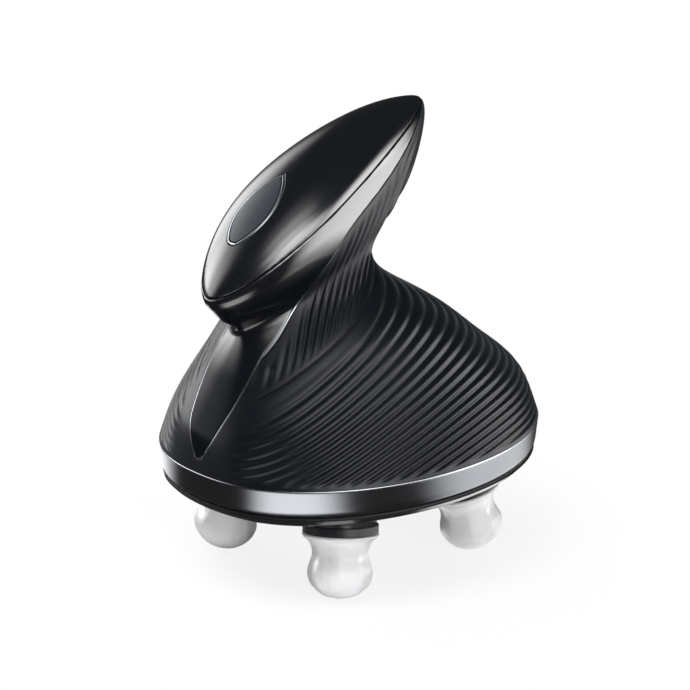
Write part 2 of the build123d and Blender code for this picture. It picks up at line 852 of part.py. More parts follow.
for number, (place, angle) in enumerate(zip(spindle_places, spindle_angles), start=1):
    frame = head_plane(place, angle)
    side_view = Plane(origin=frame.origin, x_dir=frame.x_dir, z_dir=-frame.y_dir)
    axle = Axis(frame.origin, frame.z_dir)

    phase = mating_phase(0, sun_teeth, satellite_teeth, angle)
    with BuildPart() as satellite_gear:
        extrude(
            gear_face(place, kneading_z, kneading_module, satellite_teeth, phase), amount=kneading_face
        )
        with Locations((*place, kneading_z)):
            Cylinder(spindle_radius, reach, mode=Mode.SUBTRACT)
    write(satellite_gear, f"satellite_gear_{number}")

    with BuildPart() as head_spindle:
        with Locations((*place, pivot_z)):
            Sphere(knuckle_radius)
            Cylinder(
                spindle_radius,
                plate_z + plate_thickness - 0.4 - pivot_z,
                align=(Align.CENTER, Align.CENTER, Align.MIN),
            )
        with BuildSketch(frame):
            Circle(stub_radius)
        extrude(amount=stub_reach)
    write(head_spindle, f"head_spindle_{number}")

    with BuildPart() as plug:
        with BuildSketch(frame.offset(rim_reach)):
            Circle(plug_radius)
        extrude(amount=plug_length)
        chamfer(plug.faces().sort_by(axle)[-1].edges(), length=plug_radius * 0.4)

    with BuildPart() as head_core:
        with BuildSketch(frame.offset(rim_reach - collar_thickness)):
            Circle(collar_radius)
        extrude(amount=collar_thickness)
        chamfer(head_core.edges(), length=0.3)
        add(plug.part)
        add(head_spindle.part, mode=Mode.SUBTRACT)
    write(head_core, f"head_core_{number}")

    with BuildPart() as massage_head:
        with BuildSketch(side_view):
            with BuildLine():
                tip = bulb_reach + bulb_round
                Polyline((0, tip), (0, rim_reach), (rim_radius, rim_reach), (rim_radius, rim_edge_reach))
                ThreePointArc((rim_radius, rim_edge_reach), (waist_radius, waist_reach), touch_point)
                ThreePointArc(touch_point, (bulb_radius, bulb_reach), (tip_radius, tip))
                Line((tip_radius, tip), (0, tip))
            make_face()
        revolve(axis=axle)
        with BuildSketch(frame.offset(waist_reach)):
            Circle(rim_radius)
            RegularPolygon(facet_inradius, facet_count, major_radius=False, mode=Mode.SUBTRACT)
        extrude(amount=2 * bulb_round, mode=Mode.SUBTRACT)
        add(plug.part, mode=Mode.SUBTRACT)
    write(massage_head, f"massage_head_{number}")

# ---------------------------------------------------------------- motor, bracket and battery

bracket_front = idler_y - motor_radius - bracket_ear
bracket_back = motor_y + motor_radius
bracket_middle = (bracket_front + bracket_back) / 2
bracket_depth = bracket_back - bracket_front
ear_x = bracket_width / 2 - bracket_ear
ear_y = bracket_depth / 2 - bracket_ear

with BuildPart() as motor_bracket:
    with Locations((0, bracket_middle, bracket_z)):
        Box(
            bracket_width, bracket_depth, bracket_thickness, align=(Align.CENTER, Align.CENTER, Align.MIN)
        )
    fillet(motor_bracket.edges().filter_by(Axis.Z), radius=bracket_ear)
    with Locations((0, bracket_middle, plate_top_z)):
        with GridLocations(2 * ear_x, 2 * ear_y, 2, 2):
            Cylinder(
                bracket_post_radius,
                bracket_z - plate_top_z + 0.5,
                align=(Align.CENTER, Align.CENTER, Align.MIN),
            )
            Cylinder(bracket_screw_radius, reach, mode=Mode.SUBTRACT)
    with Locations((0, idler_y, bracket_z)):
        Cylinder(idler_shaft_radius + running_gap, reach, mode=Mode.SUBTRACT)
    with Locations((0, motor_y, bracket_z)):
        Cylinder(motor_boss_radius, reach, mode=Mode.SUBTRACT)
write(motor_bracket, "motor_bracket")

with BuildPart() as bracket_screws:
    with Locations((0, bracket_middle, bracket_z + bracket_thickness)):
        with GridLocations(2 * ear_x, 2 * ear_y, 2, 2):
            Cylinder(
                bracket_screw_radius,
                bracket_z + bracket_thickness - plate_top_z,
                align=(Align.CENTER, Align.CENTER, Align.MAX),
            )
            Cylinder(
                bracket_ear * 0.8, bracket_thickness * 0.8, align=(Align.CENTER, Align.CENTER, Align.MIN)
            )
write(bracket_screws, "bracket_screws")

with BuildPart() as motor:
    with Locations((0, motor_y, motor_z)):
        Cylinder(motor_radius, motor_length, align=(Align.CENTER, Align.CENTER, Align.MIN))
    chamfer(motor.edges(), length=0.8)
    with Locations((0, motor_y, motor_z)):
        Cylinder(
            motor_boss_radius, bracket_thickness / 2, align=(Align.CENTER, Align.CENTER, Align.MAX)
        )
        Cylinder(motor_shaft_radius + running_gap, motor_length + thrust_gap, mode=Mode.SUBTRACT)
write(motor, "motor")

battery_z = plate_top_z + cradle_wall + battery_radius
with BuildPart() as battery:
    with BuildSketch(Plane.YZ):
        with Locations((battery_place, battery_z)):
            Circle(battery_radius)
    extrude(amount=battery_length / 2, both=True)
    chamfer(battery.edges(), length=0.7)
    with BuildSketch(Plane.YZ.offset(battery_length / 2)):
        with Locations((battery_place, battery_z)):
            Circle(battery_radius * 0.4)
    extrude(amount=1.0)
write(battery, "battery")

with BuildPart() as battery_cradle:
    with Locations((0, battery_place, plate_top_z)):
        Box(
            saddle_spacing + saddle_width,
            2 * battery_radius,
            cradle_wall,
            align=(Align.CENTER, Align.CENTER, Align.MIN),
        )
        with Locations((saddle_spacing / 2, 0, 0), (-saddle_spacing / 2, 0, 0)):
            Box(
                saddle_width,
                2 * (battery_radius + cradle_wall),
                cradle_wall + battery_radius,
                align=(Align.CENTER, Align.CENTER, Align.MIN),
            )
    with BuildSketch(Plane.YZ):
        with Locations((battery_place, battery_z)):
            Circle(battery_radius)
    extrude(amount=battery_length, both=True, mode=Mode.SUBTRACT)
write(battery_cradle, "battery_cradle")
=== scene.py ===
"""Looks of the electric scalp massager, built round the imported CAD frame."""

import math

import bpy
import numpy as np
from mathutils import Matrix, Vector
from mathutils.bvhtree import BVHTree


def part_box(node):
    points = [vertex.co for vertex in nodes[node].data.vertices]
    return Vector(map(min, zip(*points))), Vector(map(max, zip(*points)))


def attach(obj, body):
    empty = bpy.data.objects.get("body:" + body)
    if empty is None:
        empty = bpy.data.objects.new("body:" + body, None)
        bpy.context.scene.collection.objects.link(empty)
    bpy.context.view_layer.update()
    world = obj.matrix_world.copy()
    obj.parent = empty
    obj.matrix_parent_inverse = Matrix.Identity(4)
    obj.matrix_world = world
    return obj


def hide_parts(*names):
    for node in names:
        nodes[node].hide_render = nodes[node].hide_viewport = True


MM = 0.001

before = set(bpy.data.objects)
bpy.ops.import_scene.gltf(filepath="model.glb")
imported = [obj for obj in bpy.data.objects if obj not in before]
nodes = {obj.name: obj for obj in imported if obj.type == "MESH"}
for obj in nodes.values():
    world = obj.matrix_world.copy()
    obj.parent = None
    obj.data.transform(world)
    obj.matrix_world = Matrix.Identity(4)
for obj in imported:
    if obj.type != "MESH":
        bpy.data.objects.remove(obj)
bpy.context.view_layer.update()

# ------------------------------------------------------------------ sizes, in millimetres
# They repeat the part's own values, because this script can't read its source.

RING_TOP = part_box("base_ring")[1].z / MM
RING_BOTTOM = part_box("base_ring")[0].z / MM
NECK_RISE = 44.3
HANDLE_RISE = 66.2
RIM_BOW = 4.2
COVER_CROWN = 8.4
CREST_POWER = 0.73
CROWN_POWER = 0.6

# y, z, tilt, half length, half width, fullness, egg
BASE = np.array((0, RING_TOP, 0, 53.8, 45.0, 0.85, -0.04))
NECK = np.array((-18.3, RING_TOP + NECK_RISE, 22.5, 22.6, 13.5, 1.0, -0.43))
RIM = np.array((-11.5, RING_TOP + HANDLE_RISE, 28.1, 42.4, 15.5, 1.15, 0.20))
# share of the rise, of the change in length and of the change in width
FLANK_ROWS = (
    (0.13, 0.06, 0.035),
    (0.29, 0.16, 0.10),
    (0.46, 0.38, 0.22),
    (0.64, 0.62, 0.41),
    (0.82, 0.90, 0.68),
)
STEM_ROWS = ((0.37, 0.50, 0.0), (0.71, 0.86, 0.825))
STEM_LEAD = 1.2
COVER_TURNS = (20, 40, 58, 72, 83, 90)

# y, z from beyond the tail down to the panel's top
SPINE_CURVE = (
    (30.0, 128.0),
    (13.0, 115.3),
    (-4.4, 104.5),
    (-14.1, 97.4),
    (-22.3, 85.7),
    (-31.9, 72.9),
    (-38.1, 66.9),
)
# half width and height, down to the tip
PANEL_SIDE = ((8.5, 70.9), (8.5, 66.9), (7.7, 58.1), (5.0, 47.3), (1.6, 41.2))
PANEL_TIP = 40.5

BUTTON_PLACE = -18.0
BUTTON_HEIGHT = 10.9
BUTTON_SLOPE = 13.0
BUTTON_LENGTH = 21.6
BUTTON_WIDTH = 9.6
ALMOND_BELLY = 0.025
BUTTON_GAP = 0.3
BEZEL_WIDTH = 0.6

# The ribs' phase is counted in ribs from a centre: its run over RIB_UNIT along x, y and z, and how
# that run bends with x*x, y*y, z*z, x*y, x*z and y*z.
RIB_UNIT = 20.0
RIB_CENTRE = (30.8, -6.4, 58.7)
RIB_RUN = (2.873, 3.044, -6.327)
RIB_BEND = (2.092, -0.213, 1.417, -0.474, 0.512, 0.212)
RIB_START = -0.06
NECK_RIB_CENTRE = (12.7, -12.9, 86.8)
NECK_RIB_RUN = (5.334, 9.495, -5.147)
NECK_RIB_BEND = (1.260, 1.416, 1.951, 5.043, -2.063, -3.318)
NECK_RIB_START = 0.29
RIB_DEPTH = 0.60
NECK_RIB_DEPTH = 0.42
CREASE_HEIGHT = 86.6
CREASE_SLOPE = 0.6745
CREASE_DEPTH = 0.25
CREASE_WIDTH = 0.40

# Where each family of ribs begins and where it has its full depth: from the middle plane, from the
# crease, above the ring or outside the spine, and for the neck also by how close the ribs lie.
RIB_FADE = {"side": (9.5, 20), "crease": (1.0, 3.6), "ring": (0.6, 2.2)}
NECK_RIB_FADE = {"side": (7, 12), "crease": (0.2, 3.5), "spine": (0.4, 3.5), "rate": (0.45, 0.85)}
CREASE_FADE = {"side": (10.5, 14), "back": (4.0, -4.0)}

COLUMNS = 720
ROWS = 300


# ------------------------------------------------------------------ curves and surfaces


def cubic(knots, values, at):
    """Natural cubic curve through the values (first axis) at the knots."""
    knots = np.asarray(knots, float)
    values = np.asarray(values, float)
    count = len(knots)
    flat = values.reshape(count, -1)
    span = np.diff(knots)
    system = np.zeros((count, count))
    right = np.zeros_like(flat)
    system[0, 0] = 1
    system[-1, -1] = 1
    for k in range(1, count - 1):
        system[k, k - 1] = span[k - 1]
        system[k, k] = 2 * (span[k - 1] + span[k])
        system[k, k + 1] = span[k]
        step_up = (flat[k + 1] - flat[k]) / span[k]
        step_down = (flat[k] - flat[k - 1]) / span[k - 1]
        right[k] = 6 * (step_up - step_down)
    bend = np.linalg.solve(system, right)
    at = np.asarray(at, float)
    cell = np.clip(np.searchsorted(knots, at) - 1, 0, count - 2)
    width = span[cell][:, None]
    low = ((knots[cell + 1] - at)[:, None]) / width
    high = 1 - low
    result = (
        low * flat[cell]
        + high * flat[cell + 1]
        + ((low**3 - low) * bend[cell] + (high**3 - high) * bend[cell + 1]) * width**2 / 6
    )
    return result.reshape((len(at),) + values.shape[1:])


def smooth(low, high, value):
    """0 below low, 1 above high, with an eased run between."""
    share = np.clip((value - low) / (high - low), 0, 1)
    return share * share * (3 - 2 * share)


def mixed(low, high, rise, long, wide, tilt, offset):
    """The oval part of the way between two, as in the part's source."""
    share = np.array((offset, rise, tilt, long, wide, rise, rise))
    return low + share * (high - low)


def cover_oval(turn):
    """The cover's oval at an angle up its crest curve."""
    top = RIM_BOW + COVER_CROWN
    height = top * math.sin(math.radians(turn)) ** (2 * CREST_POWER)
    above = max(height - RIM_BOW, 0) / COVER_CROWN
    tilt = math.radians(RIM[2])
    oval = RIM.copy()
    oval[0] = RIM[0] - height * math.sin(tilt)
    oval[1] = RIM[1] + height * math.cos(tilt)
    oval[3] = RIM[3] * math.cos(math.radians(turn))
    oval[4] = RIM[4] * math.sqrt(max(1 - above ** (1 / CROWN_POWER), 0))
    oval[5] = RIM[5] + (1 - RIM[5]) * height / top
    return oval


def oval_points(oval, turns, inset=0.0):
    """Points round an oval, from its front end."""
    y, z, tilt, half_length, half_width, fullness, egg = oval
    tilt = math.radians(tilt)
    swell = np.sign(np.sin(turns)) * np.abs(np.sin(turns)) ** fullness
    across = (half_width - inset) * swell * (1 + egg * np.cos(turns))
    along = -(half_length - inset) * np.cos(turns)
    return np.stack((across, y + along * math.cos(tilt), z + along * math.sin(tilt)), axis=-1)


def section_ovals():
    """All the ovals of the outer form, from the ring's top to the crest."""
    ovals = [BASE]
    for rise, long, wide in FLANK_ROWS:
        ovals.append(mixed(BASE, NECK, rise, long, wide, rise**2, long))
    ovals.append(NECK)
    for rise, long, wide in STEM_ROWS:
        ovals.append(mixed(NECK, RIM, rise, long, wide, rise, min(1, STEM_LEAD * long)))
    ovals.append(RIM)
    ovals += [cover_oval(turn) for turn in COVER_TURNS]
    return ovals


def grid_normals(points):
    """Outward normals of a grid that closes round its columns."""
    across = np.roll(points, -1, axis=1) - np.roll(points, 1, axis=1)
    along = np.gradient(points, axis=0)
    normal = np.cross(across, along)
    length = np.linalg.norm(normal, axis=2, keepdims=True)
    return normal / np.maximum(length, 1e-9)


def master_grid():
    """The outer form as a dense grid of points."""
    turns = np.linspace(0, 2 * np.pi, COLUMNS, endpoint=False)
    sections = np.array([oval_points(oval, turns) for oval in section_ovals()])
    steps = np.linalg.norm(np.diff(sections, axis=0), axis=2).mean(axis=1)
    knots = np.concatenate(([0], np.cumsum(steps)))
    knots /= knots[-1]
    return cubic(knots, sections, np.linspace(0, 1, ROWS))


def polyline_distance(points, line):
    """Distance of 2-D points from a polyline."""
    best = np.full(len(points), 1e9)
    for start, end in zip(line[:-1], line[1:]):
        run = end - start
        share = np.clip(((points - start) @ run) / (run @ run), 0, 1)
        gap = np.linalg.norm(points - (start + share[:, None] * run), axis=1)
        best = np.minimum(best, gap)
    return best


def seam_field(points):
    """Signed distance above the cover's seam, seen from the side."""
    tilt = math.radians(RIM[2])
    y, z = points[:, 1] - RIM[0], points[:, 2] - RIM[1]
    place = y * math.cos(tilt) + z * math.sin(tilt)
    height = -y * math.sin(tilt) + z * math.cos(tilt)
    reach = RIM[3] + 1
    radius = (reach**2 + RIM_BOW**2) / (2 * RIM_BOW)
    return np.hypot(place, height - (RIM_BOW - radius)) - radius


def spine_edge_field(points):
    """Signed distance in front of the spine's edge, seen from the side."""
    curve = np.array(SPINE_CURVE)[::-1]
    steps = np.concatenate(([0], np.cumsum(np.linalg.norm(np.diff(curve, axis=0), axis=1))))
    line = cubic(steps, curve, np.linspace(0, steps[-1], 120))
    line = np.concatenate((np.array(((-70.0, curve[0, 1]),)), line))
    gap = polyline_distance(points[:, 1:], line)
    order = np.argsort(line[1:, 1])
    edge_y = np.interp(points[:, 2], line[1:][order, 1], line[1:][order, 0])
    inside = (points[:, 1] < edge_y) & (points[:, 2] > curve[0, 1])
    return np.where(inside, gap, -gap)


def panel_field(points):
    """Signed distance inside the front panel's outline, seen from the front."""
    side = np.array(PANEL_SIDE)
    steps = np.concatenate(([0], np.cumsum(np.linalg.norm(np.diff(side, axis=0), axis=1))))
    line = cubic(steps, side, np.linspace(0, steps[-1], 60))
    turn = np.linspace(0, np.pi / 2, 14)[1:]
    drop = line[-1, 1] - PANEL_TIP
    tip = np.stack((line[-1, 0] * np.cos(turn), line[-1, 1] - drop * np.sin(turn)), axis=1)
    line = np.concatenate((line, tip))
    flat = np.stack((np.abs(points[:, 0]), points[:, 2]), axis=1)
    gap = polyline_distance(flat, line)
    order = np.argsort(line[:, 1])
    half = np.interp(points[:, 2], line[order, 1], line[order, 0])
    inside = (flat[:, 0] < half) & (points[:, 2] > PANEL_TIP)
    field = np.where(inside, gap, -gap)
    return np.where(points[:, 1] < -20, field, -5.0)


def button_axes():
    """The button's own frame: origin, across, along and outward."""
    tilt = math.radians(RIM[2])
    along = np.array((0, math.cos(tilt), math.sin(tilt)))
    out = np.array((0, -math.sin(tilt), math.cos(tilt)))
    origin = np.array((0, RIM[0], RIM[1])) + BUTTON_PLACE * along + BUTTON_HEIGHT * out
    lean = math.radians(RIM[2] + BUTTON_SLOPE)
    return (
        origin,
        np.array((1.0, 0, 0)),
        np.array((0, math.cos(lean), math.sin(lean))),
        np.array((0, -math.sin(lean), math.cos(lean))),
    )


def almond_field(points):
    """Signed distance inside the button's outline, along its own axis."""
    origin, across, along, out = button_axes()
    local = points - origin
    x, y = np.abs(local @ across), local @ along
    belly = -ALMOND_BELLY * BUTTON_LENGTH
    side = ((BUTTON_LENGTH / 2 - belly) ** 2 + (BUTTON_WIDTH / 2) ** 2) / BUTTON_WIDTH
    centre = side - BUTTON_WIDTH / 2
    reach = BUTTON_LENGTH / 2 + belly
    low = (side**2 - centre**2 - reach**2) / (2 * (side - reach))
    low_y = low - BUTTON_LENGTH / 2
    from_side = side - np.hypot(x + centre, y - belly)
    from_low = low - np.hypot(x, y - low_y)
    slope = (low_y - belly) / centre
    beyond = y < belly + slope * (x + centre)
    field = np.where(beyond, from_low, from_side)
    return np.where(local @ out > -8, field, -20.0)


# ------------------------------------------------------------------ meshes


class Sheet:
    """A triangle mesh with a normal and any number of values at each vertex."""

    def __init__(self, points, normals, values, triangles):
        self.points = points
        self.normals = normals
        self.values = values
        self.triangles = triangles

    def cut(self, name, level, keep_high=False):
        """Split the triangles along value = level, and drop those below it if asked."""
        gap = self.values[name] - level
        gap = np.where(np.abs(gap) < 1e-6, 1e-6, gap)
        high = gap > 0
        tri = self.triangles
        count = high[tri].sum(axis=1)
        whole = tri[(count == 3) | (count == 0)]
        crossed = tri[(count == 1) | (count == 2)]
        if len(crossed):
            lone_high = high[crossed].sum(axis=1) == 1
            lone = np.where(lone_high[:, None], high[crossed], ~high[crossed]).argmax(axis=1)
            rows = np.arange(len(crossed))
            a = crossed[rows, lone]
            b = crossed[rows, (lone + 1) % 3]
            c = crossed[rows, (lone + 2) % 3]
            ends = np.sort(np.concatenate((np.stack((a, b), 1), np.stack((a, c), 1))), axis=1)
            pairs, index = np.unique(ends, axis=0, return_inverse=True)
            index = index.reshape(-1)
            share = gap[pairs[:, 0]] / (gap[pairs[:, 0]] - gap[pairs[:, 1]])
            new = len(self.points) + index
            ab, ac = new[: len(a)], new[len(a):]

            def between(data):
                weight = share if data.ndim == 1 else share[:, None]
                return data[pairs[:, 0]] * (1 - weight) + data[pairs[:, 1]] * weight

            self.points = np.concatenate((self.points, between(self.points)))
            added = between(self.normals)
            added /= np.linalg.norm(added, axis=1, keepdims=True)
            self.normals = np.concatenate((self.normals, added))
            for key, data in self.values.items():
                self.values[key] = np.concatenate((data, between(data)))
            self.values[name][-len(pairs):] = level
            pieces = np.concatenate(
                (np.stack((a, ab, ac), 1), np.stack((ab, b, c), 1), np.stack((ab, c, ac), 1))
            )
            whole = np.concatenate((whole, pieces))
        if keep_high:
            middle = self.values[name][whole].mean(axis=1)
            whole = whole[middle > level]
        self.triangles = whole
        return self

    def copy(self):
        """A sheet that can be cut without changing this one."""
        return Sheet(
            self.points.copy(),
            self.normals.copy(),
            {key: data.copy() for key, data in self.values.items()},
            self.triangles.copy(),
        )


def rounded_edge(sheet, name, radius, steps=(0.06, 0.2, 0.5)):
    """Bend the sheet down along value = 0, as a moulded edge rounds over."""
    for share in steps:
        sheet.cut(name, radius * share)
    sheet.cut(name, radius)
    value = sheet.values[name]
    near = np.clip(1 - value / radius, 0, 1)
    drop = radius * (1 - np.sqrt(np.clip(1 - near**2, 0, 1)))
    sheet.points = sheet.points - drop[:, None] * sheet.normals
    return sheet


def vertex_normals(points, triangles):
    """Area-weighted vertex normals."""
    corner = points[triangles]
    face = np.cross(corner[:, 1] - corner[:, 0], corner[:, 2] - corner[:, 0])
    total = np.zeros_like(points)
    for k in range(3):
        np.add.at(total, triangles[:, k], face)
    length = np.linalg.norm(total, axis=1, keepdims=True)
    return total / np.maximum(length, 1e-12)


def shell_object(name, sheet, depth, body, material):
    """The sheet with walls down from its edges, as one object."""
    used, triangles = np.unique(sheet.triangles, return_inverse=True)
    triangles = triangles.reshape(-1, 3)
    points = sheet.points[used]
    normals = sheet.normals[used]
    shaded = vertex_normals(points, triangles)
    edges = np.concatenate((triangles[:, (0, 1)], triangles[:, (1, 2)], triangles[:, (2, 0)]))
    key = np.sort(edges, axis=1)
    code = key[:, 0].astype(np.int64) * len(points) + key[:, 1]
    unique, first, seen = np.unique(code, return_index=True, return_counts=True)
    border = edges[first[seen == 1]]
    ring = np.unique(border)
    lower = points[ring] - depth * normals[ring]
    slot_of = np.full(len(points), -1)
    slot_of[ring] = len(points) + np.arange(len(ring))
    walls = np.stack((border[:, 1], border[:, 0], slot_of[border[:, 0]], slot_of[border[:, 1]]), 1)
    everything = np.concatenate((points, lower)) * MM
    mesh = bpy.data.meshes.new(name)
    loops = np.concatenate((triangles.reshape(-1), walls.reshape(-1)))
    sizes = np.concatenate((np.full(len(triangles), 3), np.full(len(walls), 4)))
    starts = np.concatenate(([0], np.cumsum(sizes)[:-1]))
    mesh.vertices.add(len(everything))
    mesh.vertices.foreach_set("co", everything.astype(np.float32).reshape(-1))
    mesh.loops.add(len(loops))
    mesh.loops.foreach_set("vertex_index", loops.astype(np.int32))
    mesh.polygons.add(len(sizes))
    mesh.polygons.foreach_set("loop_start", starts.astype(np.int32))
    mesh.update(calc_edges=True)
    mesh.validate()
    mesh.polygons.foreach_set("use_smooth", np.ones(len(mesh.polygons), bool))
    across = everything[walls[:, 1]] - everything[walls[:, 0]]
    down = everything[walls[:, 3]] - everything[walls[:, 0]]
    flat = np.cross(across, down)
    flat /= np.maximum(np.linalg.norm(flat, axis=1, keepdims=True), 1e-12)
    corner_normals = np.concatenate((shaded[triangles.reshape(-1)], np.repeat(flat, 4, axis=0)))
    mesh.normals_split_custom_set(corner_normals.tolist())
    thing = bpy.data.objects.new(name, mesh)
    bpy.context.scene.collection.objects.link(thing)
    mesh.materials.append(material)
    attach(thing, body)
    return thing


def grid_mesh(name, points):
    """A capped tube from a grid of points (rows, columns, 3), in millimetres."""
    rows, columns = points.shape[:2]
    index = np.arange(rows * columns).reshape(rows, columns)
    right = np.roll(index, -1, axis=1)
    quads = np.stack((index[:-1], right[:-1], right[1:], index[1:]), axis=-1)
    faces = [tuple(map(int, quad)) for quad in quads.reshape(-1, 4)]
    faces.append(tuple(map(int, index[0][::-1])))
    faces.append(tuple(map(int, index[-1])))
    mesh = bpy.data.meshes.new(name)
    mesh.from_pydata((points.reshape(-1, 3) * MM).tolist(), [], faces)
    mesh.validate()
    for face in mesh.polygons:
        face.use_smooth = True
    return mesh


def place(name, mesh, body, slot, material, *replaced):
    """Link a mesh as a piece that rides on a body."""
    thing = bpy.data.objects.new(name, mesh)
    bpy.context.scene.collection.objects.link(thing)
    mesh.materials.append(material)
    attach(thing, body)
    if replaced:
        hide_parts(*replaced)
    return thing


# ------------------------------------------------------------------ shader helpers


def toward(azimuth, elevation):
    """Unit vector: azimuth 0 is the front and 90 the object's +X side, in degrees."""
    a, e = math.radians(azimuth), math.radians(elevation)
    return (math.sin(a) * math.cos(e), -math.cos(a) * math.cos(e), math.sin(e))


def new_material(name):
    """A node material with its nodes and links."""
    material = bpy.data.materials.new(name)
    material.use_nodes = True
    return material, material.node_tree.nodes, material.node_tree.links


def ramp(tree, links, value, reach, result, kind="SMOOTHSTEP"):
    """From the first result to the second as the value crosses the reach."""
    node = tree.new("ShaderNodeMapRange")
    node.interpolation_type = kind
    node.inputs["From Min"].default_value = reach[0]
    node.inputs["From Max"].default_value = reach[1]
    node.inputs["To Min"].default_value = result[0]
    node.inputs["To Max"].default_value = result[1]
    links.new(value, node.inputs["Value"])
    return node.outputs["Result"]


def combine(tree, links, operation, first, second):
    """One value from two."""
    node = tree.new("ShaderNodeMath")
    node.operation = operation
    links.new(first, node.inputs[0])
    links.new(second, node.inputs[1])
    return node.outputs[0]


def add_up(tree, links, values):
    """The sum of several values."""
    total = values[0]
    for value in values[1:]:
        total = combine(tree, links, "ADD", total, value)
    return total


def reach_along(tree, links, vector, direction):
    """How far a vector reaches along a direction."""
    node = tree.new("ShaderNodeVectorMath")
    node.operation = "DOT_PRODUCT"
    node.inputs[1].default_value = direction
    links.new(vector, node.inputs[0])
    return node.outputs["Value"]


def eased_share(tree, links, position, direction, start, end):
    """0 to 1 between two distances along a direction, in millimetres."""
    reach = reach_along(tree, links, position, direction)
    return ramp(tree, links, reach, (start * MM, end * MM), (0, 1))


def glow(tree, links, source, centre, inner, outer, strength):
    """A soft-edged bright patch round a direction, its core and rim in degrees from it."""
    facing = reach_along(tree, links, source, centre)
    edge = (math.cos(math.radians(outer)), math.cos(math.radians(inner)))
    return ramp(tree, links, facing, edge, (0, strength))


# ------------------------------------------------------------------ materials


def finish_material(name, color, rough, metal=0.0, spread=0.05, grain=400.0, bump=0.02,
                    coat=0.0, coat_rough=0.05, rough_spread=0.06, specular=0.5):
    """A moulded or metal finish: faint cloudy colour, uneven gloss and a fine grain."""
    material, tree, links = new_material(name)
    shader = tree["Principled BSDF"]
    place_node = tree.new("ShaderNodeTexCoord")
    cloud = tree.new("ShaderNodeTexNoise")
    cloud.inputs["Scale"].default_value = grain * 0.12
    cloud.inputs["Detail"].default_value = 3
    fine = tree.new("ShaderNodeTexNoise")
    fine.inputs["Scale"].default_value = grain * 8
    fine.inputs["Detail"].default_value = 2
    links.new(place_node.outputs["Object"], cloud.inputs["Vector"])
    links.new(place_node.outputs["Object"], fine.inputs["Vector"])
    tint = tree.new("ShaderNodeMix")
    tint.data_type = "RGBA"
    tint.inputs["A"].default_value = (*[c * (1 - spread) for c in color], 1)
    tint.inputs["B"].default_value = (*[c * (1 + spread) for c in color], 1)
    links.new(cloud.outputs["Fac"], tint.inputs["Factor"])
    links.new(tint.outputs["Result"], shader.inputs["Base Color"])
    rough_range = (max(rough - rough_spread, 0.02), rough + rough_spread)
    gloss = ramp(tree, links, cloud.outputs["Fac"], (0, 1), rough_range, "LINEAR")
    links.new(gloss, shader.inputs["Roughness"])
    if bump:
        relief = tree.new("ShaderNodeBump")
        relief.inputs["Strength"].default_value = bump
        relief.inputs["Distance"].default_value = 0.0001
        links.new(fine.outputs["Fac"], relief.inputs["Height"])
        links.new(relief.outputs["Normal"], shader.inputs["Normal"])
    shader.inputs["Metallic"].default_value = metal
    shader.inputs["Specular IOR Level"].default_value = specular
    shader.inputs["Coat Weight"].default_value = coat
    shader.inputs["Coat Roughness"].default_value = coat_rough
    return material


grip_black = finish_material("grip soft black", (0.0035, 0.0045, 0.0065), 0.33, bump=0.08, grain=500,
                             specular=0.22)
skin_shader = grip_black.node_tree.nodes["Principled BSDF"]
skin_shader.inputs["Sheen Weight"].default_value = 0.10
skin_shader.inputs["Sheen Roughness"].default_value = 0.35
skin_shader.inputs["Sheen Tint"].default_value = (0.82, 0.90, 1.0, 1)
piano_black = finish_material("gloss black", (0.004, 0.005, 0.007), 0.20, bump=0.0, rough_spread=0.02,
                              coat=0.35, coat_rough=0.10, specular=1.0)
spine_black = finish_material("spine gloss black", (0.004, 0.005, 0.007), 0.18, bump=0.0,
                              rough_spread=0.02)
spine_shader = spine_black.node_tree.nodes["Principled BSDF"]
button_grey = finish_material("button satin grey", (0.026, 0.031, 0.038), 0.38, bump=0.05)
silver_trim_and_painted_highlight = finish_material("silver trim and painted highlight", (0.42, 0.44, 0.47), 0.30, metal=1.0, bump=0.0)
gunmetal = finish_material("ring gunmetal", (0.31, 0.32, 0.34), 0.24, metal=1.0, bump=0.03,
                           rough_spread=0.02, spread=0.02)
seal_black = finish_material("seal rubber", (0.006, 0.006, 0.007), 0.6, bump=0.15)
under_black = finish_material("under cover black", (0.008, 0.009, 0.011), 0.16, bump=0.02, coat=0.6)
shell_black = finish_material("shell moulded black", (0.03, 0.03, 0.032), 0.5, bump=0.1)
core_black = finish_material("collar black", (0.010, 0.011, 0.013), 0.34, bump=0.04, specular=0.35)
acetal = finish_material("acetal cream", (0.60, 0.60, 0.57), 0.45, bump=0.08)
gear_white = finish_material("gear acetal", (0.80, 0.80, 0.77), 0.40, bump=0.06)
bronze = finish_material("sintered bronze", (0.50, 0.34, 0.17), 0.42, metal=1.0, bump=0.2)
steel = finish_material("ground steel", (0.56, 0.57, 0.58), 0.25, metal=1.0, bump=0.06)
bracket_steel = finish_material("plated bracket", (0.45, 0.46, 0.47), 0.36, metal=1.0, bump=0.08)
motor_can = finish_material("motor can", (0.50, 0.50, 0.51), 0.30, metal=1.0, bump=0.05)
battery_wrap = finish_material("battery sleeve", (0.04, 0.16, 0.38), 0.25, bump=0.03, coat=0.5)
board_green = finish_material("solder mask", (0.02, 0.16, 0.07), 0.35, bump=0.1, spread=0.15)
switch_black = finish_material("switch black", (0.05, 0.05, 0.052), 0.5, bump=0.1)
contact_gold = finish_material("gold contact", (0.80, 0.60, 0.26), 0.18, metal=1.0, bump=0.02)
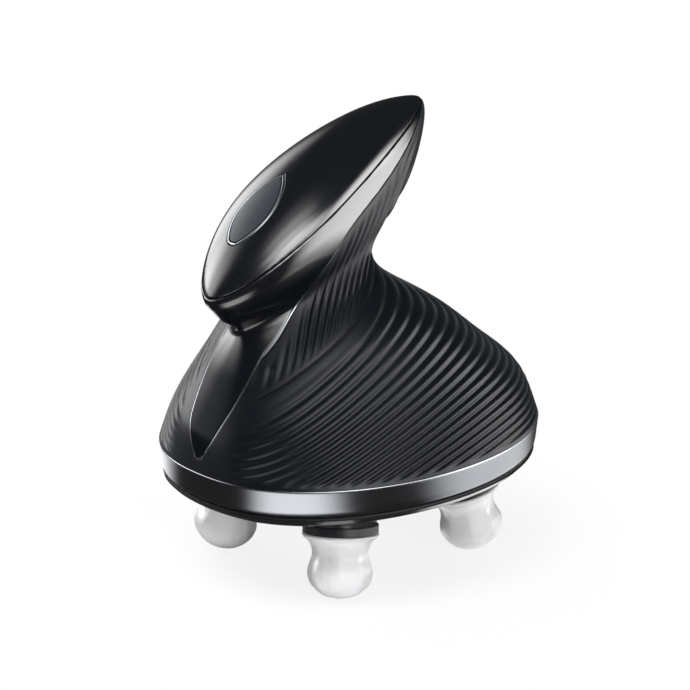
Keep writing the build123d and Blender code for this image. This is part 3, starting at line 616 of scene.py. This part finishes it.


# Painted reflection: the spine's specular and coat follow a mask by position, strongest in a band under
# the seam and at the panel's top, and dimmed on the neck and below as painted shade.
SEAM_BAND = (-7.0, -2.0)  # start and end, in millimetres from the rim
PANEL_RISE = (60, 80)
PANEL_FALL = (-82, -76)  # along -Z
tree, links = spine_black.node_tree.nodes, spine_black.node_tree.links
position = tree.new("ShaderNodeTexCoord").outputs["Object"]
rim_tilt = math.radians(RIM[2])
rim_out = (0.0, -math.sin(rim_tilt), math.cos(rim_tilt))
rim_level = rim_out[1] * RIM[0] + rim_out[2] * RIM[1]
band_start, band_end = (rim_level + offset for offset in SEAM_BAND)
seam_highlight = eased_share(tree, links, position, rim_out, band_start, band_end)
panel_low = eased_share(tree, links, position, (0, 0, 1.0), *PANEL_RISE)
panel_high = eased_share(tree, links, position, (0, 0, -1.0), *PANEL_FALL)
panel_highlight = combine(tree, links, "MULTIPLY", panel_low, panel_high)
painted_reflection_share = combine(tree, links, "MAXIMUM", seam_highlight, panel_highlight)
# Painted reflection and shade: the mask sets how strongly each place reflects, standing in for the
# light that falls there.
for socket, low_value, high_value in (("Specular IOR Level", 0.05, 1.0), ("Coat Weight", 0.0, 0.4)):
    level = ramp(tree, links, painted_reflection_share, (0, 1), (low_value, high_value), "LINEAR")
    links.new(level, spine_shader.inputs[socket])
spine_shader.inputs["Coat Roughness"].default_value = 0.10

silicone, tree, links = new_material("silicone translucent white")
shader = tree["Principled BSDF"]
place_node = tree.new("ShaderNodeTexCoord")
streak = tree.new("ShaderNodeTexNoise")
streak.inputs["Scale"].default_value = 90
streak.inputs["Detail"].default_value = 3
links.new(place_node.outputs["Object"], streak.inputs["Vector"])
milk = tree.new("ShaderNodeMix")
milk.data_type = "RGBA"
milk.inputs["A"].default_value = (0.90, 0.91, 0.93, 1)
milk.inputs["B"].default_value = (0.94, 0.95, 0.96, 1)
links.new(streak.outputs["Fac"], milk.inputs["Factor"])
links.new(milk.outputs["Result"], shader.inputs["Base Color"])
haze = ramp(tree, links, streak.outputs["Fac"], (0, 1), (0.30, 0.34), "LINEAR")
links.new(haze, shader.inputs["Roughness"])
shader.inputs["Subsurface Weight"].default_value = 0.6
shader.inputs["Subsurface Radius"].default_value = (1.0, 1.0, 1.0)
shader.inputs["Subsurface Scale"].default_value = 0.004
shader.inputs["Transmission Weight"].default_value = 0.15
shader.inputs["IOR"].default_value = 1.41
shader.inputs["Specular IOR Level"].default_value = 0.20

node_finish = {
    "body_shell": shell_black,
    "base_gasket": seal_black,
    "shaft_seals": seal_black,
    "under_cover": under_black,
    "base_ring": gunmetal,
    "gear_plate": acetal,
    "spindle_bushes": bronze,
    "case_screws": steel,
    "sun_axle": steel,
    "motor_bracket": bracket_steel,
    "bracket_screws": steel,
    "motor": motor_can,
    "battery": battery_wrap,
    "battery_cradle": acetal,
    "control_board": board_green,
    "tact_switch": switch_black,
    "charging_contacts": contact_gold,
    "power_button": button_grey,
    "button_bezel": silver_trim_and_painted_highlight,
    "sun_gear": gear_white,
    "idler_gear": gear_white,
    "idler_pinion": gear_white,
    "idler_shaft": steel,
    "motor_shaft": steel,
    "motor_pinion": bronze,
    "grip_skin": grip_black,
    "front_spine": spine_black,
    "top_cover": piano_black,
}
for number in range(1, 5):
    node_finish[f"satellite_gear_{number}"] = gear_white
    node_finish[f"head_spindle_{number}"] = steel
    node_finish[f"head_core_{number}"] = core_black
    node_finish[f"massage_head_{number}"] = silicone
for name, material in node_finish.items():
    nodes[name].data.materials.clear()
    nodes[name].data.materials.append(material)

# ------------------------------------------------------------------ outer skins

grid = master_grid()
base_normals = grid_normals(grid)
base_normals[-1] = base_normals[-3].mean(axis=0)
base_normals[-2] = base_normals[-3].mean(axis=0) * 0.5 + base_normals[-2] * 0.5
flat_points = grid.reshape(-1, 3)
fields = {
    "seam": seam_field(flat_points),
    "edge": spine_edge_field(flat_points),
    "panel": panel_field(flat_points),
    "almond": almond_field(flat_points),
}
fields["spine"] = np.maximum(fields["edge"], fields["panel"])

# Ribs: valleys where the count of ribs, with its start, is whole. Their runs are slightly bent.
mirrored = flat_points.copy()
mirrored[:, 0] = np.abs(mirrored[:, 0])
crease_gap = (flat_points[:, 2] - CREASE_HEIGHT - CREASE_SLOPE * flat_points[:, 1]) / math.hypot(
    1, CREASE_SLOPE
)


def rib_valley(phase):
    """0 along a ridge's crown and 1 in the valley between two."""
    return (0.5 + 0.5 * np.cos(2 * np.pi * phase)) ** 1.3


def rib_phase(points, centre, run, bend):
    """The number of ribs between the centre and each point."""
    place = (points - np.array(centre)) / RIB_UNIT
    x, y, z = place.T
    products = np.stack((x * x, y * y, z * z, x * y, x * z, y * z), 1)
    return place @ np.array(run) + products @ np.array(bend)


def rib_rate(points, centre, run, bend):
    """How close the ribs lie at each point, as a share of their rate at the centre."""
    x, y, z = ((points - np.array(centre)) / RIB_UNIT).T
    slope = np.stack((
        run[0] + 2 * bend[0] * x + bend[3] * y + bend[4] * z,
        run[1] + 2 * bend[1] * y + bend[3] * x + bend[5] * z,
        run[2] + 2 * bend[2] * z + bend[4] * x + bend[5] * y,
    ), axis=1)
    return np.linalg.norm(slope, axis=1) / np.linalg.norm(run)


lower = rib_valley(rib_phase(mirrored, RIB_CENTRE, RIB_RUN, RIB_BEND) + RIB_START)
upper = rib_valley(rib_phase(mirrored, NECK_RIB_CENTRE, NECK_RIB_RUN, NECK_RIB_BEND) + NECK_RIB_START)
side = mirrored[:, 0]
above_ring = flat_points[:, 2] - RING_TOP
# The ribs fade towards the front and back, the crease, the ring and the spine.
lower *= smooth(*RIB_FADE["side"], side) * smooth(*RIB_FADE["crease"], -crease_gap)
lower *= smooth(*RIB_FADE["ring"], above_ring)
neck_rate = rib_rate(mirrored, NECK_RIB_CENTRE, NECK_RIB_RUN, NECK_RIB_BEND)
upper *= smooth(*NECK_RIB_FADE["spine"], -fields["edge"]) * smooth(*NECK_RIB_FADE["crease"], crease_gap)
upper *= smooth(*NECK_RIB_FADE["side"], side) * smooth(*NECK_RIB_FADE["rate"], neck_rate)
crease_share = smooth(*CREASE_FADE["side"], side) * smooth(*CREASE_FADE["back"], flat_points[:, 1])
crease = np.exp(-((crease_gap / CREASE_WIDTH) ** 2)) * crease_share
dip = RIB_DEPTH * lower + NECK_RIB_DEPTH * upper + CREASE_DEPTH * crease
dip *= smooth(0.3, 1.5, -fields["spine"])
skin_points = (grid - (dip.reshape(ROWS, COLUMNS, 1)) * base_normals).reshape(-1, 3)
skin_normals = base_normals.reshape(-1, 3)

index = np.arange(ROWS * COLUMNS).reshape(ROWS, COLUMNS)
right = np.roll(index, -1, axis=1)
lower_tri = np.stack((index[:-1], right[:-1], right[1:]), axis=-1).reshape(-1, 3)
upper_tri = np.stack((index[:-1], right[1:], index[1:]), axis=-1).reshape(-1, 3)
all_triangles = np.concatenate((lower_tri, upper_tri))


def form_sheet(points, values):
    """A fresh copy of the whole form with the given values at its vertices."""
    return Sheet(points, skin_normals, values, all_triangles).copy()


# The inner shell stays just under the skin, also in the rib valleys and behind the neck.
SHELL_COVER = 0.25
SHELL_REACH = 3
cover_tree = BVHTree.FromPolygons((skin_points * MM).tolist(), all_triangles.tolist())
inner_mesh = nodes["body_shell"].data.copy()
inner_mesh.name = "body_shell_under_skin"
inner_mesh.transform(nodes["body_shell"].matrix_world)
for corner in inner_mesh.vertices:
    near, outward = cover_tree.find_nearest(corner.co, SHELL_REACH * MM)[:2]
    if near is not None and (near - corner.co).dot(outward) < SHELL_COVER * MM:
        corner.co = near - outward * SHELL_COVER * MM
place("body_shell_under_skin", inner_mesh, "housing", "shell", shell_black, "body_shell")

SPLIT_GAP = 0.06
COVER_GAP = 0.10
BEZEL_CLEARANCE = 0.02
BEZEL_PROUD = 0.12
CREASE_SLOT = 0.11
LINE_WIDTH = 0.17
LINE_FADE = (98, 86)  # the heights between which the painted highlight line comes in
LINE_GAP = 0.20
LINE_SUNK = 0.01
LINE_WALL = 1.0
GRIP_ROUND = 0.22
SPINE_ROUND = 0.35
COVER_ROUND = 0.30
BEZEL_ROUND = 0.20
SKIN_WALL = 1.2

grip_values = {"out": np.minimum(-fields["spine"], -fields["seam"]) - SPLIT_GAP}
grip_values["above"] = crease_gap - CREASE_SLOT * crease_share
grip_values["below"] = -crease_gap - CREASE_SLOT * crease_share
grip = form_sheet(skin_points, grip_values).cut("out", 0, keep_high=True)
rounded_edge(grip, "out", GRIP_ROUND)
for name, side_of in (("grip_ribbed_neck", "above"), ("grip_ribbed_dome", "below")):
    half = grip.copy().cut(side_of, 0, keep_high=True)
    grip_piece = shell_object(name, half, SKIN_WALL, "housing", grip_black)
    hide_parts("grip_skin")

# Painted highlight: a thin silver strip along the panel's edge stands in for the glossy bevel's
# highlight, and fades out above the neck.
highlight_line_width = LINE_WIDTH * smooth(*LINE_FADE, flat_points[:, 2])
spine_values = {"out": np.minimum(fields["spine"] - highlight_line_width, -fields["seam"] - COVER_GAP)}
spine = form_sheet(flat_points, spine_values).cut("out", 0, keep_high=True)
rounded_edge(spine, "out", SPINE_ROUND)
spine_piece = shell_object("front_spine_gloss", spine, SKIN_WALL, "housing", spine_black)
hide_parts("front_spine")

# The painted highlight strip itself, sunk a little below the skin where the spine stops short.
highlight_line_values = {
    "out": np.minimum(fields["spine"], -fields["seam"] - LINE_GAP),
    "inner": highlight_line_width - fields["spine"],
}
line = form_sheet(flat_points - LINE_SUNK * skin_normals, highlight_line_values).cut("out", 0, keep_high=True)
line = line.cut("inner", 0.001, keep_high=True)
highlight_line_piece = shell_object("panel_edge_painted_highlight", line, LINE_WALL, "housing", silver_trim_and_painted_highlight)
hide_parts("front_spine")

bezel_edge = fields["almond"] + BUTTON_GAP + BEZEL_WIDTH
cover_values = {"out": np.minimum(fields["seam"] - COVER_GAP, -bezel_edge - BEZEL_CLEARANCE)}
cover = form_sheet(flat_points, cover_values).cut("out", 0, keep_high=True)
rounded_edge(cover, "out", COVER_ROUND)
cover_piece = shell_object("top_cover_gloss", cover, SKIN_WALL, "housing", piano_black)
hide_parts("top_cover")

bezel_values = {"out": np.minimum(bezel_edge, -fields["almond"] - BUTTON_GAP)}
bezel = form_sheet(flat_points + BEZEL_PROUD * skin_normals, bezel_values).cut("out", 0, keep_high=True)
rounded_edge(bezel, "out", BEZEL_ROUND)
bezel_piece = shell_object("button_bezel_trim", bezel, SKIN_WALL, "housing", silver_trim_and_painted_highlight)
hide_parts("button_bezel")

# ------------------------------------------------------------------ base ring


def ring_rows(profile):
    """Rows round the base oval, each an inset and a height."""
    turns = np.linspace(0, 2 * np.pi, 480, endpoint=False)
    rows = []
    for inset, height in profile:
        oval = BASE.copy()
        oval[1] = height
        rows.append(oval_points(oval, turns, inset))
    return np.array(rows)


def band_mesh(name, profile):
    """A closed band round the base oval from its cross-section."""
    points = ring_rows(profile)
    rows, columns = points.shape[:2]
    index = np.arange(rows * columns).reshape(rows, columns)
    right = np.roll(index, -1, axis=1)
    up = np.roll(index, -1, axis=0)
    corner = np.roll(right, -1, axis=0)
    quads = np.stack((index, right, corner, up), axis=-1).reshape(-1, 4)
    mesh = bpy.data.meshes.new(name)
    mesh.from_pydata((points.reshape(-1, 3) * MM).tolist(), [], quads.tolist())
    mesh.validate()
    return mesh


RING_TAPER = 0.8
RING_WALL = 3.0
RING_ROLL = 2.7  # height of the lower edge's round
RING_ROLL_IN = 1.5
tall = RING_TOP - RING_BOTTOM
ring_profile = [(RING_WALL - 0.05, RING_TOP - 0.02), (RING_WALL - 0.05, RING_BOTTOM + 0.02)]
for turn in np.radians(np.linspace(88, 0, 12)):
    height = RING_BOTTOM + RING_ROLL * (1 - math.sin(turn)) + 0.01
    slant = RING_TAPER * (1 - (height - RING_BOTTOM) / tall)
    ring_profile.append((slant + RING_ROLL_IN * (1 - math.cos(turn)) + 0.02, height))
for share in np.linspace(RING_ROLL / tall + 0.03, 0.955, 10):
    ring_profile.append((RING_TAPER * (1 - share) + 0.02, RING_BOTTOM + share * tall))
ring_profile += [(0.10, RING_TOP - 0.22), (0.22, RING_TOP - 0.08), (0.42, RING_TOP - 0.02)]
ring_mesh = band_mesh("ring_satin", ring_profile)
for face in ring_mesh.polygons:
    face.use_smooth = True
ring_piece = place("ring_satin", ring_mesh, "housing", "gunmetal", gunmetal, "base_ring")
flats = ring_piece.modifiers.new("corners", "EDGE_SPLIT")
flats.split_angle = math.radians(50)

# ------------------------------------------------------------------ kneading heads

HEAD_TILT = math.radians(14.0)
HEAD_PLACES = (46.6, 133.4, 226.6, 313.4)  # degrees round the base, from +X
PIVOT_HEIGHT = 22.175
FLUTES = 8
FLUTE_DEPTH = 0.017
FINE_DEPTH = 0.004


def head_radius(reach):
    """The head's radius at a distance from the pivot along its axis."""
    knots = (4.8, 5.3, 6.6, 8.3, 10.2, 12.2, 14.0, 15.5, 17.6, 19.4, 20.9, 21.8, 22.2)
    radii = (10.15, 10.25, 8.9, 7.75, 7.3, 7.7, 8.3, 8.5, 8.1, 7.05, 5.35, 3.5, 1.8)
    return cubic(knots, np.array(radii)[:, None], reach)[:, 0]


def head_points(pivot, outward):
    """A grid round the head's axis, with soft flutes on its waist and bulb."""
    reach = np.concatenate((
        np.array((4.85,)),
        np.linspace(4.95, 5.5, 4),
        np.linspace(5.9, 19.4, 34),
        np.linspace(19.8, 22.2, 12),
    ))
    radius = head_radius(reach)
    radius[0] -= 0.35
    radius[1] -= 0.1
    turns = np.linspace(0, 2 * np.pi, 144, endpoint=False)
    flutes = FLUTE_DEPTH * np.cos(FLUTES * turns) + FINE_DEPTH * np.cos(3 * FLUTES * turns + 0.7)
    weight = smooth(6.0, 9.5, reach) * (1 - smooth(18.5, 21.8, reach))
    shape = 1 + weight[:, None] * flutes[None, :]
    rings = radius[:, None] * shape
    out = np.array((math.cos(outward), math.sin(outward), 0))
    axis = out * math.sin(HEAD_TILT) + np.array((0, 0, -math.cos(HEAD_TILT)))
    first = out * math.cos(HEAD_TILT) + np.array((0, 0, math.sin(HEAD_TILT)))
    second = np.cross(axis, first)
    around = np.cos(turns)[None, :, None] * first + np.sin(turns)[None, :, None] * second
    return (
        pivot
        + reach[:, None, None] * axis
        + rings[..., None] * around
    )


for number, degrees in enumerate(HEAD_PLACES, start=1):
    outward = math.radians(degrees)
    spindle_low, spindle_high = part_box(f"satellite_gear_{number}")
    centre = (np.array(spindle_low) + np.array(spindle_high)) / 2 / MM
    pivot = np.array((centre[0], centre[1], PIVOT_HEIGHT))
    points = head_points(pivot, outward)
    mesh = grid_mesh(f"massage_head_soft_{number}", points[:, ::-1])
    place(f"massage_head_soft_{number}", mesh, f"spindle_{number}", "silicone", silicone,
          f"massage_head_{number}")

# ------------------------------------------------------------------ studio light

HORIZON_GLOW = 0.09
SKY_GLOW = 0.035
FILL_LIGHT = 0.21
world = bpy.data.worlds.new("studio")
bpy.context.scene.world = world
world.use_nodes = True
tree, links = world.node_tree.nodes, world.node_tree.links
tree.clear()
out = tree.new("ShaderNodeOutputWorld")
back = tree.new("ShaderNodeBackground")
ray = tree.new("ShaderNodeLightPath")
direction = tree.new("ShaderNodeTexCoord")
split = tree.new("ShaderNodeSeparateXYZ")
links.new(direction.outputs["Generated"], split.inputs[0])
sky = ramp(tree, links, split.outputs["Z"], (0.02, 0.16), (HORIZON_GLOW, SKY_GLOW))


# Each soft card: its direction, the degrees to its core's and its rim's edge, and its strength.
STUDIO = (
    (toward(86, 6), 3, 28, 6.4),
    (toward(66, 30), 2, 24, 4.4),
    (toward(47, 52), 2, 22, 2.2),
    (toward(24, 64), 2, 20, 0.6),
    (toward(-52, 12), 6, 36, 3.2),
    (toward(-86, 10), 6, 34, 3.5),
    (toward(134, 2), 8, 30, 7.0),
)
patches = [glow(tree, links, direction.outputs["Generated"], *box) for box in STUDIO]
studio = add_up(tree, links, [sky, *patches])
mixer = tree.new("ShaderNodeMix")
mixer.data_type = "FLOAT"
mixer.inputs["A"].default_value = FILL_LIGHT
links.new(ray.outputs["Is Glossy Ray"], mixer.inputs["Factor"])
links.new(studio, mixer.inputs["B"])
last = tree.new("ShaderNodeMix")
last.data_type = "FLOAT"
last.inputs["B"].default_value = 1.0
back.inputs["Color"].default_value = (1, 1, 1, 1)
see = combine(tree, links, "MAXIMUM", ray.outputs["Is Camera Ray"], ray.outputs["Is Transmission Ray"])
links.new(see, last.inputs["Factor"])
links.new(mixer.outputs["Result"], last.inputs["A"])
links.new(last.outputs["Result"], back.inputs["Strength"])
links.new(back.outputs[0], out.inputs["Surface"])


LIGHT_AIM = (0, 0, 0.06)
LIGHT_DISTANCE = 0.9


def softbox(name, azimuth, elevation, width, height, watts):
    """A rectangular soft light that faces the object, unseen in its gloss."""
    lamp = bpy.data.lights.new(name, "AREA")
    lamp.shape = "RECTANGLE"
    lamp.size = width
    lamp.size_y = height
    lamp.energy = watts
    thing = bpy.data.objects.new(name, lamp)
    bpy.context.scene.collection.objects.link(thing)
    back_to = np.array(toward(azimuth, elevation))
    thing.location = np.array(LIGHT_AIM) + LIGHT_DISTANCE * back_to
    thing.rotation_mode = "QUATERNION"
    thing.rotation_quaternion = (-Vector(back_to)).to_track_quat("-Z", "Y")
    thing.visible_glossy = False


softbox("key overhead", 10, 62, 0.5, 0.35, 8.0)
softbox("right strip", 80, 10, 0.2, 0.5, 3.5)
softbox("left strip", -95, 15, 0.25, 0.5, 3.5)

floor_mesh = bpy.data.meshes.new("floor")
floor_mesh.from_pydata([(-6, -6, 0), (6, -6, 0), (6, 6, 0), (-6, 6, 0)], [], [(0, 1, 2, 3)])
floor = bpy.data.objects.new("floor", floor_mesh)
bpy.context.scene.collection.objects.link(floor)
floor_paint, tree, links = new_material("floor pale")
tree.clear()
out = tree.new("ShaderNodeOutputMaterial")
matt = tree.new("ShaderNodeBsdfDiffuse")
matt.inputs["Color"].default_value = (0.85, 0.85, 0.86, 1)
bright = tree.new("ShaderNodeEmission")
bright.inputs["Color"].default_value = (1, 1, 1, 1)
ray = tree.new("ShaderNodeLightPath")
place_node = tree.new("ShaderNodeTexCoord")
spot = place_node.outputs["Object"]
far = tree.new("ShaderNodeVectorMath")
far.operation = "LENGTH"
links.new(spot, far.inputs[0])
unit = tree.new("ShaderNodeVectorMath")
unit.operation = "NORMALIZE"
links.new(spot, unit.inputs[0])
# Painted reflection: the floor glows to gloss rays, in pale sectors and darker ones between, standing
# in for the light that soft cards would leave there.
right_card = glow(tree, links, unit.outputs["Vector"], toward(134, 0), 10, 42, 4.5)
left_card = glow(tree, links, unit.outputs["Vector"], toward(-86, 0), 8, 42, 1.7)
front_card = glow(tree, links, unit.outputs["Vector"], toward(33, 0), 4, 30, 2.4)
base_glow = tree.new("ShaderNodeValue")
base_glow.outputs[0].default_value = 0.04
distance = far.outputs["Value"]
# Painted reflection: a pale ring of floor just round the base, seen only in gloss.
near_edge = ramp(tree, links, distance, (0.062, 0.080), (0, 1))
far_edge = ramp(tree, links, distance, (0.155, 0.125), (0, 1))
near_band = combine(tree, links, "MULTIPLY", near_edge, far_edge)
both_cards = add_up(tree, links, [left_card, front_card])
near_cards = combine(tree, links, "MULTIPLY", near_band, both_cards)
away = ramp(tree, links, distance, (0.13, 0.22), (0.32, 1.2), "LINEAR")
right_side = combine(tree, links, "MULTIPLY", right_card, away)
floor_painted_reflection = add_up(tree, links, [base_glow.outputs[0], right_side, near_cards])
level = tree.new("ShaderNodeMix")
level.data_type = "FLOAT"
level.inputs["A"].default_value = 1.0
links.new(ray.outputs["Is Glossy Ray"], level.inputs["Factor"])
links.new(floor_painted_reflection, level.inputs["B"])
links.new(level.outputs["Result"], bright.inputs["Strength"])
# Near the object the camera sees some of the plain floor, which keeps the shadow.
spread = ramp(tree, links, distance, (0.03, 0.10), (0.86, 1.0))
camera_share = combine(tree, links, "MULTIPLY", ray.outputs["Is Camera Ray"], spread)
seen = combine(tree, links, "MAXIMUM", ray.outputs["Is Glossy Ray"], ray.outputs["Is Transmission Ray"])
share = combine(tree, links, "MAXIMUM", seen, camera_share)
mix = tree.new("ShaderNodeMixShader")
links.new(share, mix.inputs["Fac"])
links.new(matt.outputs[0], mix.inputs[1])
links.new(bright.outputs[0], mix.inputs[2])
links.new(mix.outputs[0], out.inputs["Surface"])
floor_mesh.materials.append(floor_paint)

# ------------------------------------------------------------------ camera

AZIMUTH, ELEVATION = 47.24, 19.64
VIEW_CENTRE = (0, 2.8, 58.19)
VIEW_SHIFT = 2.96
CAMERA_DISTANCE = 800
FOCAL_PIXELS = 2966  # for an image as wide as IMAGE_PIXELS
IMAGE_PIXELS = 690
SENSOR = 36
back_dir = np.array(toward(AZIMUTH, ELEVATION))
right_dir = np.array((math.cos(math.radians(AZIMUTH)), math.sin(math.radians(AZIMUTH)), 0))
target = np.array(VIEW_CENTRE) - VIEW_SHIFT * right_dir
camera_data = bpy.data.cameras.new("camera")
camera_data.sensor_width = SENSOR
camera_data.lens = SENSOR * FOCAL_PIXELS / IMAGE_PIXELS
camera_data.clip_start = 0.05
camera_data.clip_end = 30
camera = bpy.data.objects.new("camera", camera_data)
bpy.context.scene.collection.objects.link(camera)
camera.location = (target + CAMERA_DISTANCE * back_dir) * MM
camera.rotation_mode = "QUATERNION"
camera.rotation_quaternion = (-Vector(back_dir)).to_track_quat("-Z", "Y")
bpy.context.scene.camera = camera
bpy.context.scene.view_settings.view_transform = "Standard"
